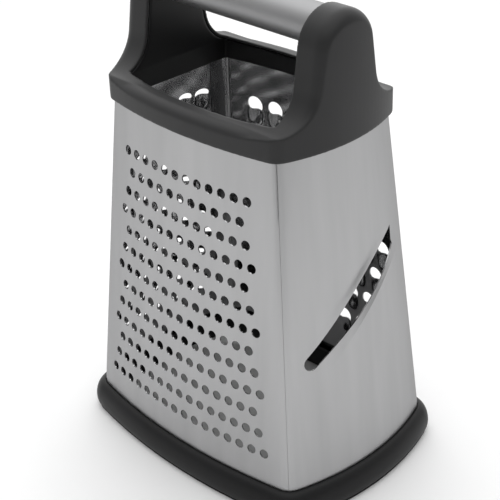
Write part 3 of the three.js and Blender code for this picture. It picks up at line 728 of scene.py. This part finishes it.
class Nodes:
    """The node tree of a material or world, with short calls for the nodes used here."""

    def __init__(self, owner, shader):
        owner.use_nodes = True
        self.owner = owner
        self.tree = owner.node_tree
        self.shader = self.tree.nodes[shader]

    def add(self, kind, inputs=None, **values):
        node = self.tree.nodes.new(kind)
        for key, value in values.items():
            setattr(node, key, value)
        set_inputs(node, inputs or {})
        return node

    def link(self, source, target):
        self.tree.links.new(source, target)

    def coordinate(self, kind):
        return self.add("ShaderNodeTexCoord").outputs[kind]

    def scaled(self, vector, scale):
        mapping = self.add("ShaderNodeMapping", {"Scale": scale})
        self.link(vector, mapping.inputs["Vector"])
        return mapping.outputs["Vector"]

    def noise(self, scale, stretch=(1, 1, 1), detail=3.0):
        noise = self.add("ShaderNodeTexNoise", {"Scale": scale, "Detail": detail})
        self.link(self.scaled(self.coordinate("Object"), stretch), noise.inputs["Vector"])
        return noise.outputs["Fac"]

    def towards(self, vector, direction):
        product = self.add("ShaderNodeVectorMath", {1: direction}, operation="DOT_PRODUCT")
        self.link(vector, product.inputs[0])
        return product.outputs["Value"]

    def length(self, vector):
        length = self.add("ShaderNodeVectorMath", operation="LENGTH")
        self.link(vector, length.inputs[0])
        return length.outputs["Value"]

    def calculate(self, operation, value, *others):
        result = self.add("ShaderNodeMath", dict(enumerate(others, 1)), operation=operation)
        self.link(value, result.inputs[0])
        return result.outputs["Value"]

    def ramp(self, value, low, high, start=0.3, end=0.7):
        ramp = self.add("ShaderNodeValToRGB")
        ends = zip(ramp.color_ramp.elements, (start, end), (low, high))
        for element, place, colour in ends:
            element.position = place
            element.color = (*colour, 1)
        self.link(value, ramp.inputs["Fac"])
        return ramp.outputs["Color"]

    def spread(self, value, low, high, first=0.0, last=1.0):
        spread = self.add("ShaderNodeMapRange", {"From Min": first, "From Max": last,
                                                 "To Min": low, "To Max": high})
        self.link(value, spread.inputs["Value"])
        return spread.outputs["Result"]

    def multiply(self, first, second):
        mixed = self.add("ShaderNodeMixRGB", {"Fac": 1.0}, blend_type="MULTIPLY")
        self.link(first, mixed.inputs["Color1"])
        self.link(second, mixed.inputs["Color2"])
        return mixed.outputs["Color"]

    def bump(self, value, strength, distance):
        bump = self.add("ShaderNodeBump", {"Strength": strength, "Distance": distance})
        self.link(value, bump.inputs["Height"])
        self.link(bump.outputs["Normal"], self.shader.inputs["Normal"])

    def tone(self, value, tone, shares):
        """Base colour between two shares of a tone."""
        dark, light = [[channel * share for channel in tone] for share in shares]
        self.link(self.ramp(value, dark, light), self.shader.inputs["Base Color"])

    def roughness(self, value, middle, reach):
        self.link(self.spread(value, middle - reach, middle + reach),
                  self.shader.inputs["Roughness"])


def new_material(name):
    return Nodes(bpy.data.materials.new(name), "Principled BSDF")


def brushed_steel(name, tone, roughness, relief, stretch):
    """Satin steel with fine brushing along one axis."""
    nodes = new_material(name)
    set_inputs(nodes.shader, {"Metallic": 1.0, "Specular Tint": (*STEEL_EDGE_TINT, 1)})
    brushing = nodes.noise(BRUSH_SCALE, stretch, BRUSH_DETAIL)
    nodes.tone(brushing, tone, BRUSH_TONES)
    nodes.roughness(brushing, roughness, BRUSH_ROUGHNESS)
    nodes.bump(brushing, relief, BRUSH_DEPTH)
    return nodes.owner


def moulded_plastic(name, tone, roughness, specular, grain):
    """Matte moulding with a fine spark-eroded grain and slight rubbed variation."""
    nodes = new_material(name)
    set_inputs(nodes.shader, {"Specular IOR Level": specular})
    nodes.tone(nodes.noise(RUB_SCALE, detail=RUB_DETAIL), tone, RUB_TONES)
    fine = nodes.noise(grain, detail=GRAIN_DETAIL)
    nodes.roughness(fine, roughness, GRAIN_ROUGHNESS)
    nodes.bump(fine, GRAIN_RELIEF, GRAIN_DEPTH)
    return nodes.owner


# Stage, in metres, with the lens and sensor in millimetres.

WHITE = (1.0, 1.0, 1.0)

# Camera fitted to the photograph.
CAMERA_PLACE = Vector((0.3998, -0.3856, 0.4164))
CAMERA_RIGHT = Vector((0.7043, 0.7093, -0.0312))
CAMERA_UP = Vector((-0.3338, 0.3695, 0.8672))
CAMERA_LENS, SENSOR, CLIP_START = 95.26, 36.0, 0.01

# Floor: pale paper with painted shade towards the camera, out of the picture, standing in for a
# dark camera side in the steel's reflections, and painted shade inside the ring, standing in for
# the shadow under the grater.
FLOOR_HALF = 10.0
PAPER_SCALE, PAPER_ROUGHNESS, PAPER_SPECULAR = 40, 0.9, 0.1
PAPER_TONES = (0.955, 0.955, 0.955), (0.965, 0.965, 0.965)
NEAR_SIDE, NEAR_GRADE, CAMERA_SIDE_PAINTED_SHADE = (0.72, -0.69, 0.0), (0.3, 0.6), (0.75, 0.75, 0.75)
UNDER_SIZE, UNDER_EDGE, RING_PAINTED_SHADE = (0.079, 0.056), (0.95, 1.0), (0.5, 0.5, 0.5)

# Light: surroundings with one bright side, and a lamp above.
BRIGHT_SIDE, BRIGHT, DIM, FALL_OFF = (-0.66, 0.6, 0.45), 2.0, 0.1, 3
TOP_BOX = dict(place=(0.3, -0.3, 1.6), aim=(0.1, -0.1, 0.1), size=(2.2, 2.2), power=16)


def camera():
    data = bpy.data.cameras.new("camera")
    data.lens, data.sensor_width = CAMERA_LENS, SENSOR
    data.sensor_fit = "HORIZONTAL"
    data.clip_start = CLIP_START
    obj = linked("camera", data)
    right = CAMERA_RIGHT.normalized()
    up = (CAMERA_UP - right * CAMERA_UP.dot(right)).normalized()
    turn = Matrix((right, up, right.cross(up))).transposed()
    obj.matrix_world = Matrix.Translation(CAMERA_PLACE) @ turn.to_4x4()
    bpy.context.scene.camera = obj


def floor():
    corners = [(-1, -1), (1, -1), (1, 1), (-1, 1)]
    mesh = bpy.data.meshes.new("floor")
    mesh.from_pydata([(x * FLOOR_HALF, y * FLOOR_HALF, 0) for x, y in corners], [],
                     [(0, 1, 2, 3)])
    obj = linked("floor", mesh)
    nodes = new_material("floor_paper_painted_shade")
    set_inputs(nodes.shader, {"Roughness": PAPER_ROUGHNESS, "Specular IOR Level": PAPER_SPECULAR})
    paper = nodes.ramp(nodes.noise(PAPER_SCALE), *PAPER_TONES)
    place = nodes.coordinate("Object")
    # Painted shade: the paper darkens towards the camera's side, standing in for the dark
    # surroundings there that the steel reflects.
    painted_camera_shade = nodes.ramp(nodes.towards(place, NEAR_SIDE), WHITE, CAMERA_SIDE_PAINTED_SHADE, *NEAR_GRADE)
    far = nodes.length(nodes.scaled(place, (1 / UNDER_SIZE[0], 1 / UNDER_SIZE[1], 1)))
    # Painted shade: the paper darkens inside the base ring's footprint, standing in for the shadow
    # under the grater.
    painted_ring_shade = nodes.ramp(far, RING_PAINTED_SHADE, WHITE, *UNDER_EDGE)
    nodes.link(nodes.multiply(nodes.multiply(paper, painted_camera_shade), painted_ring_shade),
               nodes.shader.inputs["Base Color"])
    obj.data.materials.append(nodes.owner)


def soft_box(name, place, aim, size, power):
    data = bpy.data.lights.new(name, "AREA")
    data.shape, data.size, data.size_y, data.energy = "RECTANGLE", size[0], size[1], power
    obj = linked(name, data)
    obj.location = place
    obj.rotation_euler = (Vector(aim) - Vector(place)).to_track_quat("-Z", "Y").to_euler()


def world():
    """Surroundings that are bright behind the object and dim on the camera's side."""
    nodes = Nodes(bpy.data.worlds.new("studio"), "Background")
    bpy.context.scene.world = nodes.owner
    set_inputs(nodes.shader, {"Color": (*WHITE, 1)})
    facing = nodes.towards(nodes.coordinate("Generated"), BRIGHT_SIDE)
    fall = nodes.calculate("POWER", nodes.spread(facing, 0.0, 1.0, -1.0, 1.0), FALL_OFF)
    nodes.link(nodes.calculate("MULTIPLY_ADD", fall, BRIGHT - DIM, DIM),
               nodes.shader.inputs["Strength"])


def studio():
    world()
    floor()
    soft_box("top_box", **TOP_BOX)
    bpy.context.scene.view_settings.view_transform = "Standard"


camera()
studio()

brushed = brushed_steel("brushed_steel", tone=(0.405, 0.405, 0.409), roughness=0.3,
                        relief=0.04, stretch=(1, 1, 0.04))
smooth_steel = brushed_steel("smooth_steel", tone=(0.40, 0.40, 0.405), roughness=0.14,
                             relief=0.01, stretch=(1, 1, 0.1))
tube_steel = brushed_steel("tube_steel", tone=(0.36, 0.36, 0.365), roughness=0.5,
                           relief=0.04, stretch=(0.04, 1, 1))
grip_rubber = moulded_plastic("grip_rubber", tone=(0.033, 0.033, 0.0335), roughness=0.42,
                              specular=0.2, grain=2600)
frame_plastic = moulded_plastic("frame_plastic", tone=(0.0065, 0.0065, 0.007), roughness=0.4,
                                specular=0.35, grain=2200)
base_rubber = moulded_plastic("base_rubber", tone=(0.0145, 0.0145, 0.015), roughness=0.45,
                              specular=0.18, grain=2600)

sheet_steel = [brushed, smooth_steel]
fine_panel(sheet_steel)
toothed_panel("coarse_sheet", WIDE, COARSE, False, sheet_steel, "coarse_grater_panel")
toothed_panel("medium_sheet", NARROW, MEDIUM, True, sheet_steel, "medium_grater_panel")
slicer_panel(sheet_steel)
base_ring(base_rubber)
top_cover(grip_rubber)
inner_frame(frame_plastic)
handle_tube(tube_steel)
